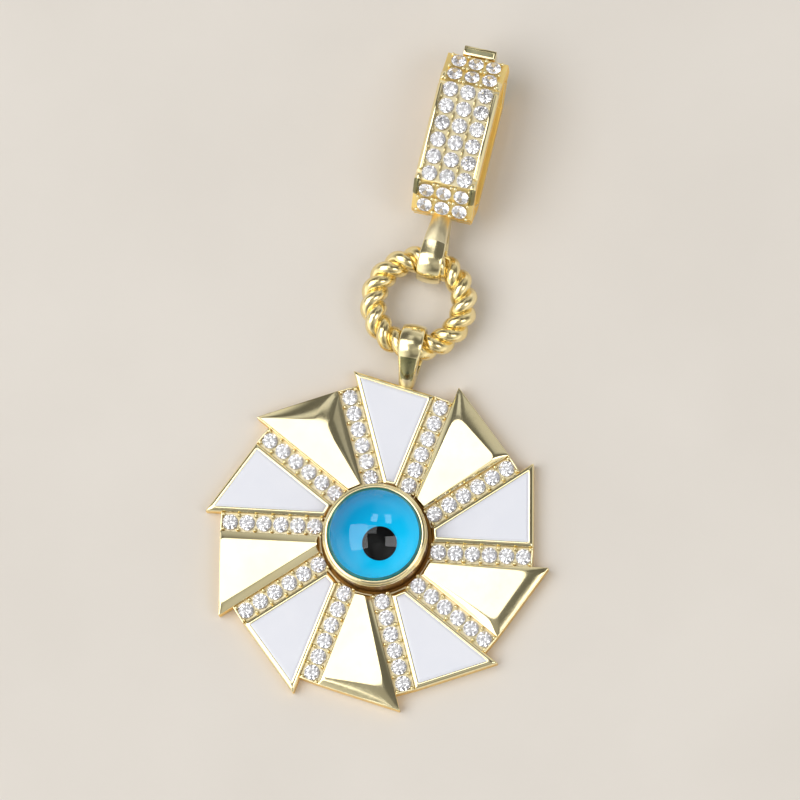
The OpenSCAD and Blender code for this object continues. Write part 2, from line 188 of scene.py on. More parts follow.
def cutOut(piece, bm):
    # takes the closed shapes of bm out of a piece
    bmesh.ops.recalc_face_normals(bm, faces=bm.faces)
    cutter = addMesh("cutter", bm)
    taken = piece.modifiers.new("cut", "BOOLEAN")
    taken.operation = "DIFFERENCE"
    taken.solver = "EXACT"
    taken.object = cutter
    applyModifiers(piece)
    bpy.data.objects.remove(cutter)


def applyModifiers(piece):
    graph = bpy.context.evaluated_depsgraph_get()
    done = bpy.data.meshes.new_from_object(piece.evaluated_get(graph))
    piece.modifiers.clear()
    piece.data = done


def isWall(face):
    return abs(face.normal.z) < wallRise


def giveFinish(piece, face, finish):
    face.material_index = piece.data.materials.find(finish.name)


def paintWallReflection(piece, finish):
    # upright faces take a deeper orange tone, painted reflected light off the floor
    for face in piece.data.polygons:
        if isWall(face):
            giveFinish(piece, face, finish)


def markSharp(piece):
    bm = bmesh.new()
    bm.from_mesh(piece.data)
    shadeEdges(bm, creaseFrom)
    bm.to_mesh(piece.data)
    bm.free()


# Finishes

noiseRange = (0.3, 0.7)  # nearly all of a noise lies between these


def newMaterial(name):
    material = bpy.data.materials.new(name)
    material.use_nodes = True
    return material, material.node_tree, material.node_tree.nodes["Principled BSDF"]


def addNoise(tree, perMm, detail=3.0, roughness=0.5):
    coords = tree.nodes.new("ShaderNodeTexCoord")
    texture = tree.nodes.new("ShaderNodeTexNoise")
    texture.inputs["Scale"].default_value = perMm / mm
    texture.inputs["Detail"].default_value = detail
    texture.inputs["Roughness"].default_value = roughness
    tree.links.new(coords.outputs["Object"], texture.inputs["Vector"])
    return texture.outputs["Fac"]


def rampBetween(tree, source, socket, stops):
    ramp = tree.nodes.new("ShaderNodeValToRGB")
    for element, (position, colour) in zip(ramp.color_ramp.elements, stops):
        element.position = position
        element.color = (*colour, 1)
    tree.links.new(source, ramp.inputs["Fac"])
    tree.links.new(ramp.outputs["Color"], socket)


def spread(tree, source, socket, low, high):
    change = tree.nodes.new("ShaderNodeMapRange")
    change.inputs["From Min"].default_value = noiseRange[0]
    change.inputs["From Max"].default_value = noiseRange[1]
    change.inputs["To Min"].default_value = low
    change.inputs["To Max"].default_value = high
    tree.links.new(source, change.inputs["Value"])
    tree.links.new(change.outputs["Result"], socket)


def addBump(tree, bsdf, source, height, strength):
    bump = tree.nodes.new("ShaderNodeBump")
    bump.inputs["Strength"].default_value = strength
    bump.inputs["Distance"].default_value = height * mm
    tree.links.new(source, bump.inputs["Height"])
    tree.links.new(bump.outputs["Normal"], bsdf.inputs["Normal"])


goldLooks = dict(
    polished=dict(
        pale=(0.98, 0.87, 0.54), deep=(0.95, 0.82, 0.47),
        smooth=0.03, dull=0.07, ripplePerMm=0.5, ripple=0.005,
    ),
    loop=dict(  # the two loops, worn a little softer
        pale=(0.98, 0.87, 0.54), deep=(0.95, 0.82, 0.47),
        smooth=0.15, dull=0.20, ripplePerMm=0.5, ripple=0.005,
    ),
    satin=dict(  # blades and their frames
        pale=(0.98, 0.88, 0.56), deep=(0.95, 0.83, 0.49),
        smooth=0.11, dull=0.17, ripplePerMm=0.5, ripple=0.006,
    ),
    rope=dict(
        pale=(0.99, 0.84, 0.47), deep=(0.95, 0.76, 0.36),
        smooth=0.16, dull=0.26, ripplePerMm=1.5, ripple=0.008,
    ),
    recess=dict(  # painted shade: dark brown gold deep round the eye's setting
        pale=(0.38, 0.20, 0.05), deep=(0.20, 0.10, 0.022),
        smooth=0.3, dull=0.5, ripplePerMm=5, ripple=0.03,
    ),
    cast=dict(  # floors under the stones
        pale=(0.89, 0.79, 0.54), deep=(0.80, 0.69, 0.41),
        smooth=0.34, dull=0.5, ripplePerMm=6, ripple=0.02,
    ),
    slope=dict(  # floors under the stones at the bent ends of the clasp, deeper orange with a faint glow: painted light
        pale=(1.0, 0.80, 0.36), deep=(0.95, 0.70, 0.24), glow=0.06,
        smooth=0.34, dull=0.5, ripplePerMm=6, ripple=0.02,
    ),
    shade=dict(  # painted dark reflection, for ends that mirror the dark of the room
        pale=(0.34, 0.32, 0.17), deep=(0.20, 0.19, 0.09),
        smooth=0.16, dull=0.22, ripplePerMm=0.9, ripple=0.01,
    ),
    wall=dict(  # upright walls: rougher, in a deeper orange that is painted reflected light off the floor
        pale=(1.0, 0.73, 0.25), deep=(0.96, 0.64, 0.17),
        smooth=0.32, dull=0.48, ripplePerMm=3, ripple=0.008,
    ),
    gateWall=dict(  # sides of the clasp: deeper orange with a faint glow, painted light off the floor
        pale=(1.0, 0.70, 0.20), deep=(0.96, 0.60, 0.13), glow=0.07,
        smooth=0.4, dull=0.55, ripplePerMm=3, ripple=0.01,
    ),
    rough=dict(  # sunk middle of the nail tab: rougher, and dark olive, painted shade in the hollow
        pale=(0.62, 0.60, 0.40), deep=(0.20, 0.19, 0.10),
        smooth=0.35, dull=0.6, ripplePerMm=9, ripple=0.05,
    ),
)


def goldMaterial(kind):
    look = goldLooks[kind]
    material, tree, bsdf = newMaterial(kind + "Gold")
    bsdf.inputs["Metallic"].default_value = 1
    cloud = addNoise(tree, perMm=0.35, detail=2)
    stops = [(0.3, look["deep"]), (0.7, look["pale"])]
    rampBetween(tree, cloud, bsdf.inputs["Base Color"], stops)
    wear = addNoise(tree, perMm=2.2, detail=5, roughness=0.65)
    spread(tree, wear, bsdf.inputs["Roughness"], look["smooth"], look["dull"])
    ripple = addNoise(tree, look["ripplePerMm"], detail=2)
    addBump(tree, bsdf, ripple, look["ripple"], strength=0.6)
    if "glow" in look:
        bsdf.inputs["Emission Color"].default_value = (*look["pale"], 1)
        bsdf.inputs["Emission Strength"].default_value = look["glow"]
    return material


enamelLook = dict(
    white=(0.84, 0.85, 0.92), shade=(0.81, 0.825, 0.90), smooth=0.06, dull=0.12, ior=1.5,
)


def enamelMaterial():
    material, tree, bsdf = newMaterial("whiteEnamel")
    look = enamelLook
    cloud = addNoise(tree, perMm=0.4, detail=2)
    stops = [(0.3, look["shade"]), (0.7, look["white"])]
    rampBetween(tree, cloud, bsdf.inputs["Base Color"], stops)
    wear = addNoise(tree, perMm=3, detail=4)
    spread(tree, wear, bsdf.inputs["Roughness"], look["smooth"], look["dull"])
    bsdf.inputs["IOR"].default_value = look["ior"]
    waves = addNoise(tree, perMm=0.6, detail=1)
    addBump(tree, bsdf, waves, height=0.004, strength=0.5)
    return material


eyeLooks = dict(
    glassTint=(0.93, 0.99, 1.0), glassShade=0.94, glassIor=1.5,
    irisShaded=(0.0, 0.40, 0.80), irisLit=(0.0, 0.66, 1.0),
    glowDeep=(0.0, 0.07, 0.16), glowLight=(0.0, 0.31, 0.53), lightSide=(0.8, -0.6, 0),
    paintedLightReach=4.0,  # the painted light on the iris grows over this distance to each side of its middle
    # dark teal paint on the glass's side, also used as painted shade round the rim from this
    # radius out
    edgeShadeDeep=(0.005, 0.14, 0.17), edgeShadeLight=(0.01, 0.25, 0.29), shadedRimFrom=3.67,
    pupilBlack=(0.0005, 0.0008, 0.001), pupilGrey=(0.003, 0.004, 0.005),
)


def glassMaterial():
    material, tree, bsdf = newMaterial("azureGlass")
    bsdf.inputs["Transmission Weight"].default_value = 1
    bsdf.inputs["IOR"].default_value = eyeLooks["glassIor"]
    pale = eyeLooks["glassTint"]
    deep = tuple(eyeLooks["glassShade"] * c for c in pale)
    cloud = addNoise(tree, perMm=0.5, detail=2)
    rampBetween(tree, cloud, bsdf.inputs["Base Color"], [(0.3, deep), (0.7, pale)])
    wear = addNoise(tree, perMm=2, detail=3)
    spread(tree, wear, bsdf.inputs["Roughness"], low=0.0, high=0.015)
    waves = addNoise(tree, perMm=0.35, detail=1)
    addBump(tree, bsdf, waves, height=0.004, strength=0.3)
    return material


def irisMaterial():
    material, tree, bsdf = newMaterial("irisBluePaintedLight")
    coords = tree.nodes.new("ShaderNodeTexCoord")
    along = tree.nodes.new("ShaderNodeVectorMath")
    along.operation = "DOT_PRODUCT"
    along.inputs[1].default_value = eyeLooks["lightSide"]
    tree.links.new(coords.outputs["Object"], along.inputs[0])
    across = tree.nodes.new("ShaderNodeMapRange")  # painted light: lighter towards the lower right
    across.inputs["From Min"].default_value = -eyeLooks["paintedLightReach"] * mm
    across.inputs["From Max"].default_value = eyeLooks["paintedLightReach"] * mm
    tree.links.new(along.outputs["Value"], across.inputs["Value"])
    stops = [(0.1, eyeLooks["irisShaded"]), (0.9, eyeLooks["irisLit"])]
    rampBetween(tree, across.outputs["Result"], bsdf.inputs["Base Color"], stops)
    # painted glow: the iris gives off light, brighter towards the lower right
    stops = [(0.1, eyeLooks["glowDeep"]), (0.9, eyeLooks["glowLight"])]
    rampBetween(tree, across.outputs["Result"], bsdf.inputs["Emission Color"], stops)
    bsdf.inputs["Emission Strength"].default_value = 1
    bsdf.inputs["Specular IOR Level"].default_value = 0
    wear = addNoise(tree, perMm=4, detail=3)
    spread(tree, wear, bsdf.inputs["Roughness"], low=0.6, high=0.8)
    brushed = addNoise(tree, perMm=3, detail=3)
    addBump(tree, bsdf, brushed, height=0.004, strength=0.3)
    return material


def edgeShadeMaterial():
    material, tree, bsdf = newMaterial("glassEdgeShade")
    stops = [(0.35, eyeLooks["edgeShadeDeep"]), (0.65, eyeLooks["edgeShadeLight"])]
    cloud = addNoise(tree, perMm=1.2, detail=3)
    rampBetween(tree, cloud, bsdf.inputs["Base Color"], stops)
    wear = addNoise(tree, perMm=4, detail=3)
    spread(tree, wear, bsdf.inputs["Roughness"], low=0.1, high=0.25)
    return material


def pupilMaterial():
    material, tree, bsdf = newMaterial("pupilBlack")
    stops = [(0.4, eyeLooks["pupilBlack"]), (0.75, eyeLooks["pupilGrey"])]
    cloud = addNoise(tree, perMm=3, detail=6, roughness=0.7)
    rampBetween(tree, cloud, bsdf.inputs["Base Color"], stops)
    wear = addNoise(tree, perMm=5, detail=3)
    spread(tree, wear, bsdf.inputs["Roughness"], low=0.5, high=0.7)
    bsdf.inputs["Specular IOR Level"].default_value = 0
    return material


stoneLook = dict(
    clear=(1.0, 1.0, 1.0), cool=(0.95, 0.95, 0.99), ior=2.1, clearness=0.95,
    paintedGlint=(0.9, 0.9, 1.0), paintedGlintDim=(0.5, 0.48, 0.66), paintedGlintGlow=0.025,
)


def stoneMaterial():
    material, tree, bsdf = newMaterial("clearStone")
    bsdf.inputs["Transmission Weight"].default_value = stoneLook["clearness"]
    bsdf.inputs["IOR"].default_value = stoneLook["ior"]
    stops = [(0.35, stoneLook["cool"]), (0.65, stoneLook["clear"])]
    cloud = addNoise(tree, perMm=0.8, detail=1)
    rampBetween(tree, cloud, bsdf.inputs["Base Color"], stops)
    # painted glints: the stones glow faintly in spots
    stops = [(0.4, stoneLook["paintedGlintDim"]), (0.6, stoneLook["paintedGlint"])]
    paintedGlints = addNoise(tree, perMm=3.5, detail=2)
    rampBetween(tree, paintedGlints, bsdf.inputs["Emission Color"], stops)
    bsdf.inputs["Emission Strength"].default_value = stoneLook["paintedGlintGlow"]
    wear = addNoise(tree, perMm=3, detail=2)
    spread(tree, wear, bsdf.inputs["Roughness"], low=0.0, high=0.02)
    return material


gold = goldMaterial("polished")
loopGold = goldMaterial("loop")
satinGold = goldMaterial("satin")
ropeGold = goldMaterial("rope")
castGold = goldMaterial("cast")
roughShadeGold = goldMaterial("rough")
wallReflectionGold = goldMaterial("wall")
gateSideGlowGold = goldMaterial("gateWall")
shadedRecessGold = goldMaterial("recess")
slopeGlowGold = goldMaterial("slope")
shadeGold = goldMaterial("shade")
plateGolds = [gold, castGold, wallReflectionGold, shadedRecessGold]
claspGolds = [gold, castGold, gateSideGlowGold, roughShadeGold, slopeGlowGold, shadeGold]
enamelWhite = enamelMaterial()
azureGlass = glassMaterial()
clearStone = stoneMaterial()
print("finishes made")


# Pinwheel plate

plate = dict(
    blades=10, firstTurn=24.8, tip=14.3, stripEnd=12.85, stripWidth=1.6,
    thick=0.8, rise=0.4, wellRadius=4.55, wellFloor=0.5, wellRim=0.01, bladeStart=4.72,
    nearBlades=(8, 9, 0, 1, 2), nearStart=4.55,  # these reach nearer to the eye
    underRound=0.1, cornerRound=0.07,
    endWall=0.14, endDrop=0.06, endCorner=0.03, endRound=0.05,  # bars that close the strips
)
plate["top"] = plate["thick"] + plate["rise"]
plate["tipAlong"] = math.sqrt(plate["tip"] ** 2 - plate["stripWidth"] ** 2)


def stripTurn(k):
    return math.radians(90 + plate["firstTurn"] - k * 360 / plate["blades"])


def atStrip(k, along, left):
    # a point along strip k, seen from the front
    a = stripTurn(k)
    return Vector((
        along * math.cos(a) - left * math.sin(a),
        along * math.sin(a) + left * math.cos(a),
    ))


def bladeOutline(k):
    # corners counter-clockwise: inner, outer, tip, inner
    width = plate["stripWidth"]
    start = plate["nearStart" if k in plate["nearBlades"] else "bladeStart"]
    return [
        atStrip(k + 1, start, 0),
        atStrip(k + 1, plate["stripEnd"], 0),
        atStrip(k, plate["tipAlong"], -width),
        atStrip(k, math.sqrt(start ** 2 - width ** 2), -width),
    ]


def plateOutline():
    points = []
    for k in range(plate["blades"]):
        points += [
            atStrip(k, plate["stripEnd"], 0),
            atStrip(k, plate["stripEnd"], -plate["stripWidth"]),
            atStrip(k, plate["tipAlong"], -plate["stripWidth"]),
        ]
    return points[::-1]


wallShape = dict(footIn=0.03, footDrop=0.02, cornerGrowth=0.6)


def wall(points, radius, z0, z1, turn, steps=4):
    # rings of an upright wall with a rounded top edge; turn is the radius of that rounding
    corners = len(points)
    grow = wallShape["cornerGrowth"]
    rings = [(wallShape["footIn"], z0 - wallShape["footDrop"]), (0, z0), (0, z1 - turn)]
    for s in range(1, steps + 1):
        a = math.pi / 2 * s / steps
        rings.append((turn * (1 - math.cos(a)), z1 - turn * (1 - math.sin(a))))
    return [
        atHeight(roundedOutline(points, [d] * corners, [radius + grow * d] * corners), z)
        for d, z in rings
    ]


pillow = dict(
    ledge=0.05, edgeRound=0.06, steps=18, innerMargin=0.12, roundest=1.6, roundShare=0.8,
    roundPower=0.4,
    # blade: rise, power of its curve, and the widths of its margins at their two ends:
    # along the next strip from the inside out, along the outer edge, and back along its strip
    blades={
        1: (0.36, 1.25, (0.10, 0.30), (1.00, 1.45), (0.60, 0.30)),
        3: (0.205, 1.60, (0.20, 0.85), (1.00, 1.10), (0.40, 0.15)),
        5: (0.30, 1.50, (0.06, 0.15), (0.60, 1.40), (0.70, 0.40)),
        7: (0.34, 1.15, (0.58, 0.62), (0.06, 0.06), (0.60, 0.50)),
        9: (0.36, 1.55, (0.12, 1.80), (2.10, 0.20), (0.06, 0.06)),
    },
)


def goldBlade(bm, k):
    points = bladeOutline(k)
    rings = wall(points, plate["cornerRound"], plate["thick"], plate["top"], pillow["edgeRound"])
    rise, power, nextSide, outer, ownSide = pillow["blades"][k]
    inner = pillow["innerMargin"]
    pairs = [(inner, nextSide[0]), (nextSide[1], outer[0]),
             (outer[1], ownSide[0]), (ownSide[1], inner)]
    corners = [min(pillow["roundest"], pillow["roundShare"] * (a + b) / 2) for a, b in pairs]
    steps = pillow["steps"]
    for s in range(steps + 2):
        u = s / steps
        insets = [(pillow["ledge"] + u * a, pillow["ledge"] + u * b) for a, b in pairs]
        radii = [mix(plate["cornerRound"], c, min(1, u) ** pillow["roundPower"]) for c in corners]
        z = plate["top"] + rise * (1 - max(0, 1 - u) ** power)
        rings.append(atHeight(roundedOutline(points, insets, radii), z))
    ringStack(bm, rings)


tray = dict(width=0.42, outerRound=0.3, outerSteps=6, innerRound=0.02, floor=0.86)


def enamelTray(bm, k):
    points = bladeOutline(k)
    rings = wall(points, plate["cornerRound"], plate["thick"], plate["top"],
                 tray["outerRound"], tray["outerSteps"])
    inner, turn = tray["width"], tray["innerRound"]
    for d, z in [
        (inner - turn, plate["top"]), (inner - midRound * turn, plate["top"] - midRound * turn),
        (inner, plate["top"] - turn), (inner, tray["floor"]),
    ]:
        rings.append(atHeight(roundedOutline(points, [d] * 4, [plate["cornerRound"]] * 4), z))
    ringStack(bm, rings)


seats = dict(radius=0.46, deep=0.75, steps=16)


def seatCutter(bm, place):
    circle = [Vector((seats["radius"] * math.cos(a), seats["radius"] * math.sin(a)))
              for a in fullTurn(seats["steps"])]
    ringStack(bm, [atHeight(circle, -seats["deep"]), atHeight(circle, cutPast)], place)


stones = dict(diameter=1.28, perStrip=6, rowStart=5.118, rowEnd=12.08, lift=0.183)
stones["step"] = (stones["rowEnd"] - stones["rowStart"]) / (stones["perStrip"] - 1)


def stripPlaces(k):
    # where the stones of strip k sit, on the floor of the strip
    along = [stones["rowStart"] + i * stones["step"] for i in range(stones["perStrip"])]
    return [atStrip(k, t, -plate["stripWidth"] / 2).to_3d() + Vector((0, 0, plate["thick"]))
            for t in along]


def makeSlab():
    bm = bmesh.new()
    outline = plateOutline()
    count = len(outline)
    turn = plate["underRound"]
    middle = midRound * turn
    profile = [(turn, 0), (middle, middle), (0, turn), (0, plate["thick"])]
    ringStack(bm, [
        atHeight(roundedOutline(outline, [d] * count, [plate["cornerRound"]] * count), z)
        for d, z in profile
    ])
    slab = finishPiece("plateBase", bm, plateGolds)
    cutters = bmesh.new()
    for k in range(plate["blades"]):
        for place in stripPlaces(k):
            seatCutter(cutters, Matrix.Translation(place))
    well, high = plate["wellRadius"], plate["thick"] + cutPast
    lathe(cutters, [(0, plate["wellFloor"]), (well, plate["wellFloor"]), (well, high), (0, high)])
    cutOut(slab, cutters)
    for face in slab.data.polygons:
        if face.normal.z < -levelRise:
            finish = gold
        # faces in the well take the painted shade of the recess
        elif face.center.xy.length < (well + plate["wellRim"]) * mm:
            finish = shadedRecessGold
        else:
            finish = castGold if face.normal.z > levelRise else wallReflectionGold
        giveFinish(slab, face, finish)
    markSharp(slab)
    return slab


def makeBlades():
    bm = bmesh.new()
    for k in range(plate["blades"]):
        if k % 2:
            goldBlade(bm, k)
        else:
            enamelTray(bm, k)
        end, width = plate["stripEnd"], plate["stripWidth"]
        inner = end - plate["endWall"]
        bar = [atStrip(k, inner, -width), atStrip(k, end, -width),
               atStrip(k, end, 0), atStrip(k, inner, 0)]
        ringStack(bm, wall(bar, plate["endCorner"], plate["thick"],
                           plate["top"] - plate["endDrop"], plate["endRound"]))
    blades = finishPiece("blades", bm, [satinGold, castGold, wallReflectionGold], sharp=40)
    paintWallReflection(blades, wallReflectionGold)
    return blades


# Setting of the eye

setting = dict(
    base=0.45, floor=0.8, inner=4.03, innerTop=2.8, shadedTo=2.9, steps=128,
    lip=[  # (radius, height) from the foot of the wall up and over the lip
        (4.28, 0.45), (4.28, 2.86), (4.265, 2.93), (4.22, 2.97), (4.17, 2.99), (4.155, 3.02),
        (4.16, 3.06), (4.14, 3.13), (4.08, 3.20), (3.99, 3.245), (3.91, 3.25), (3.85, 3.225),
        (3.815, 3.18), (3.81, 3.15), (3.86, 3.12), (4.0, 2.9),
    ],
)


def makeSetting():
    bm = bmesh.new()
    profile = [(0, setting["base"])] + setting["lip"]
    profile += [(setting["inner"], setting["innerTop"]), (setting["inner"], setting["floor"]),
                (0, setting["floor"])]
    lathe(bm, profile, setting["steps"])
    piece = finishPiece("eyeSetting", bm, plateGolds, sharp=50)
    # the lower wall, down in the recess, takes painted shade
    for face in piece.data.polygons:
        if isWall(face) and face.center.z < setting["shadedTo"] * mm:
            giveFinish(piece, face, shadedRecessGold)
    return piece


# Loops of the plate and of the clasp

strap = dict(
    foot=0.12, footIn=0.93, shoulder=0.5, shoulderTop=0.6, shoulderIn=0.98,
    crown=15, rimIn=0.9, rimUp=0.72,
    aroundEye=26, along=12, aroundFoot=8,  # steps round a loop
)


def roundEnded(c1, r1, c2, r2, bulges=(0, 0)):
    # outline round two circles, in (Y, Z); its two straight stretches may bulge out
    aroundEye, along, aroundFoot = strap["aroundEye"], strap["along"], strap["aroundFoot"]
    line = c2 - c1
    turn = math.atan2(line.y, line.x)
    lean = math.acos((r1 - r2) / line.length)

    def on(c, r, a):
        return c + Vector((r * math.cos(a), r * math.sin(a)))

    def stretch(a, b, way, bulge):
        out = Vector((math.cos(way), math.sin(way)))
        return [mix(a, b, i / along) + out * bulge * math.sin(math.pi * i / along) ** 2
                for i in range(along)]

    high, low = turn - lean, turn + lean
    points = [on(c1, r1, mix(low, high + 2 * math.pi, i / aroundEye)) for i in range(aroundEye)]
    points += stretch(on(c1, r1, high), on(c2, r2, high), high, bulges[0])
    points += [on(c2, r2, mix(high, low, i / aroundFoot)) for i in range(aroundFoot)]
    points += stretch(on(c2, r2, low), on(c1, r1, low), low, bulges[1])
    return points


def strapSection():
    # (share of the half width, share of the thickness) round the section of a loop
    side = [(1.0, strap["foot"]), (1.0, strap["shoulder"]),
            (strap["shoulderIn"], strap["shoulderTop"])]
    points = [(-strap["footIn"], 0.0), (strap["footIn"], 0.0)] + side
    for i in range(strap["crown"]):
        x = 1 - 2 * i / (strap["crown"] - 1)
        points.append((x * strap["rimIn"], 1 - (1 - strap["rimUp"]) * x * x))
    return points + [(-x, h) for x, h in side[::-1]]


def strapLoop(bm, outer, inner, halfWidth, place=None):
    rings = []
    for out, into in zip(outer, inner):
        ring = []
        for x, h in strapSection():
            spot = mix(into, out, h)
            ring.append(Vector((x * halfWidth(spot.x), spot.x, spot.y)))
        rings.append(ring)
    ringStack(bm, rings, place, closed=True)


plateLoop = dict(
    eyeY=16.149, eyeRadius=1.46, thick=0.45, rimY=12.949, footRadius=0.55, footZ=0.57,
    narrowY=14.449, narrowZ=1.16, narrowRadius=0.35, width=1.95, footWidth=1.3, bulge=0.1,
    frosted=0.9, shadeFrom=0.45, shadeTo=2.0,  # distances from the rim
    shadeShare=0.72, topRise=0.3,
)


def makePlateLoop():
    part = plateLoop
    outerRadius = part["eyeRadius"] + part["thick"]
    eye = Vector((part["eyeY"], outerRadius))
    foot = Vector((part["rimY"] + part["footRadius"] / 2, part["footZ"]))
    narrow = Vector((part["narrowY"], part["narrowZ"]))
    outer = roundEnded(eye, outerRadius, foot, part["footRadius"], (part["bulge"], 0))
    inner = roundEnded(eye, part["eyeRadius"], narrow, part["narrowRadius"])

    def halfWidth(y):
        u = smoothStep(part["rimY"], part["eyeY"], y)
        return mix(part["footWidth"], part["width"], u) / 2

    bm = bmesh.new()
    strapLoop(bm, outer, inner, halfWidth)
    piece = finishPiece("plateLoop", bm, [loopGold, castGold, shadeGold], sharp=60)
    for face in piece.data.polygons:
        spot = face.center / mm
        up = spot.y - part["rimY"]
        inMiddle = abs(spot.x) < part["shadeShare"] * halfWidth(spot.y)
        onTop = face.normal.z > part["topRise"]
        if inMiddle and onTop and part["shadeFrom"] < up < part["shadeTo"]:
            giveFinish(piece, face, shadeGold)  # painted dark reflection in the middle of the foot
        elif up < part["frosted"]:
            giveFinish(piece, face, castGold)  # the rest of the foot isn't polished
    return piece


# Rope ring

rope = dict(
    wire=2.24, middle=7.5, strands=2, ridges=16, phase=-44, strandRadius=0.59,
    around=24, along=288, probe=0.01,
)


def makeRope():
    # each strand winds a whole number of times round the core, and then closes
    low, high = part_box("twisted_ring")
    centre = (low + high) / 2 / mm
    strandRadius = rope["strandRadius"]
    offset = rope["wire"] / 2 - strandRadius
    ringRadius = rope["middle"] / 2
    twist = rope["ridges"] / rope["strands"]

    def onStrand(a, turned):
        b = math.radians(rope["phase"]) + turned - twist * a
        out = ringRadius + offset * math.cos(b)
        return centre + Vector((out * math.cos(a), out * math.sin(a), offset * math.sin(b)))

    bm = bmesh.new()
    probe = rope["probe"]
    for turned in fullTurn(rope["strands"]):
        rings = []
        for a in fullTurn(rope["along"]):
            here = onStrand(a, turned)
            way = (onStrand(a + probe, turned) - onStrand(a - probe, turned)).normalized()
            core = centre + Vector((ringRadius * math.cos(a), ringRadius * math.sin(a), 0))
            out = (here - core).normalized()
            out = (out - way * out.dot(way)).normalized()
            side = way.cross(out)
            rings.append([here + strandRadius * (out * math.cos(q) + side * math.sin(q))
                          for q in fullTurn(rope["around"])])
        ringStack(bm, rings, closed=True)
    piece = finishPiece("ropeRing", bm, [ropeGold], sharp=60)
    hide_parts("twisted_ring")


# Eye

eyeShape = dict(
    radius=4.0, base=0.955, edge=0.02, painted=2.75, shoulder=2.77,
    sphere=4.5532, sphereZ=0.6468, steps=36, around=160,
)


def makeEye():
    part = eyeShape
    bm = bmesh.new()
    profile = [(0, part["base"]), (part["radius"] - part["edge"], part["base"]),
               (part["radius"], part["base"] + part["edge"]), (part["radius"], part["shoulder"])]
    start = math.asin(part["radius"] / part["sphere"])
    for i in range(part["steps"] + 1):
        a = start * (1 - i / part["steps"])
        radius = part["sphere"] * math.sin(a) if i < part["steps"] else 0
        profile.append((radius, part["sphereZ"] + part["sphere"] * math.cos(a)))
    lathe(bm, profile, part["around"])
    iris = irisMaterial()
    rim = edgeShadeMaterial()
    glass = finishPiece("eyeGlass", bm, [azureGlass, iris, rim], sharp=60)
    for face in glass.data.polygons:  # paint behind the glass, and painted shade round its rim
        painted = face.center.z < part["painted"] * mm
        if painted and abs(face.normal.z) > levelRise:
            giveFinish(glass, face, iris)
        elif painted or face.center.xy.length > eyeLooks["shadedRimFrom"] * mm:
            giveFinish(glass, face, rim)
    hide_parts("eye_glass")
    for node, material in (("eye_iris", iris), ("eye_pupil", pupilMaterial())):
        disc = frame["nodes"][node]
        disc.data.materials.clear()
        disc.data.materials.append(material)


# Enamel

enamel = dict(
    edgeDrop=0.015, dome=0.03, rollIn=0.22, rollSteps=6, flatFrom=0.02, cornerGrowth=0.3,
    floor=0.88,
)


def makeEnamel():
    start = tray["width"]
    top = plate["top"] - enamel["edgeDrop"]
    rise = enamel["edgeDrop"] + enamel["dome"]
    profile = [(start, enamel["floor"]), (start, top)]
    for s in range(1, enamel["rollSteps"] + 1):
        u = s / enamel["rollSteps"]
        profile.append((start + enamel["rollIn"] * u, top + rise * math.sin(u * math.pi / 2)))
    profile.append((start + enamel["rollIn"] + enamel["flatFrom"], profile[-1][1]))
    for number in range(plate["blades"] // 2):
        points = bladeOutline(2 * number)
        rings = []
        for d, z in profile:
            radius = plate["cornerRound"] + enamel["cornerGrowth"] * (d - start)
            rings.append(atHeight(roundedOutline(points, [d] * 4, [radius] * 4), z))
        bm = bmesh.new()
        ringStack(bm, rings)
        name = "enamel_%d" % (number + 1)
        panel = finishPiece(name + "_panel", bm, [enamelWhite], sharp=60)
        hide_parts(name)


# Cut stones

cut = dict(  # shares of the stone's size; tilt is in degrees
    sides=8, table=0.56, crown=0.155, girdle=0.025, pavilion=0.42, star=0.76, lower=0.24, tilt=2.5,
)


def addStone(bm, place):
    r = stones["diameter"] / 2
    g = r * cut["girdle"]
    crown = 2 * r * cut["crown"]
    deep = 2 * r * cut["pavilion"]
    slope = crown / (r * (1 - cut["table"]))
    sides = cut["sides"]
    half = math.pi / sides
    spin = Matrix.Rotation(dice.uniform(0, 2 * half), 4, "Z")
    lean = Matrix.Rotation(math.radians(dice.uniform(-cut["tilt"], cut["tilt"])), 4, "X")
    place = place @ lean @ spin

    def ring(radius, z, turn):
        turns = [2 * half * i + turn for i in range(sides)]
        spots = [Vector((radius * math.cos(a), radius * math.sin(a), z)) for a in turns]
        return [bm.verts.new(place @ spot * mm) for spot in spots]

    starAlong = r * cut["star"] * math.cos(half)
    lowerAlong = r * cut["lower"] * math.cos(half)
    table = ring(r * cut["table"], g + crown, 0)
    star = ring(r * cut["star"], g + crown - (starAlong - r * cut["table"]) * slope, half)
    upper = ring(r, g, 0)
    upperMid = ring(r, g, half)
    under = ring(r, -g, 0)
    underMid = ring(r, -g, half)
    lower = ring(r * cut["lower"], -g - deep * (1 - lowerAlong / r), half)
    culet = bm.verts.new(place @ Vector((0, 0, -g - deep)) * mm)
    bm.faces.new(table)
    for i in range(sides):
        j = (i + 1) % sides
        bm.faces.new((table[i], star[i], table[j]))
        bm.faces.new((table[i], star[i - 1], upper[i], star[i]))
        bm.faces.new((star[i], upper[i], upperMid[i]))
        bm.faces.new((star[i], upperMid[i], upper[j]))
        bm.faces.new((upper[i], under[i], underMid[i], upperMid[i]))
        bm.faces.new((upperMid[i], underMid[i], under[j], upper[j]))
        bm.faces.new((under[i], lower[i], underMid[i]))
        bm.faces.new((underMid[i], lower[i], under[j]))
        bm.faces.new((under[i], lower[i - 1], culet, lower[i]))


def finishStones(name, bm, node):
    piece = finishPiece(name, bm, [clearStone], sharp=0.1)
    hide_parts(node)


grain = dict(
    size=(0.19, 0.19, 0.24), shares=((0.85, 1.1), (0.8, 1.0), (0.9, 1.1)),
    reach=0.6, lift=0.2, innerShift=0.12, outerShift=-0.14,
)


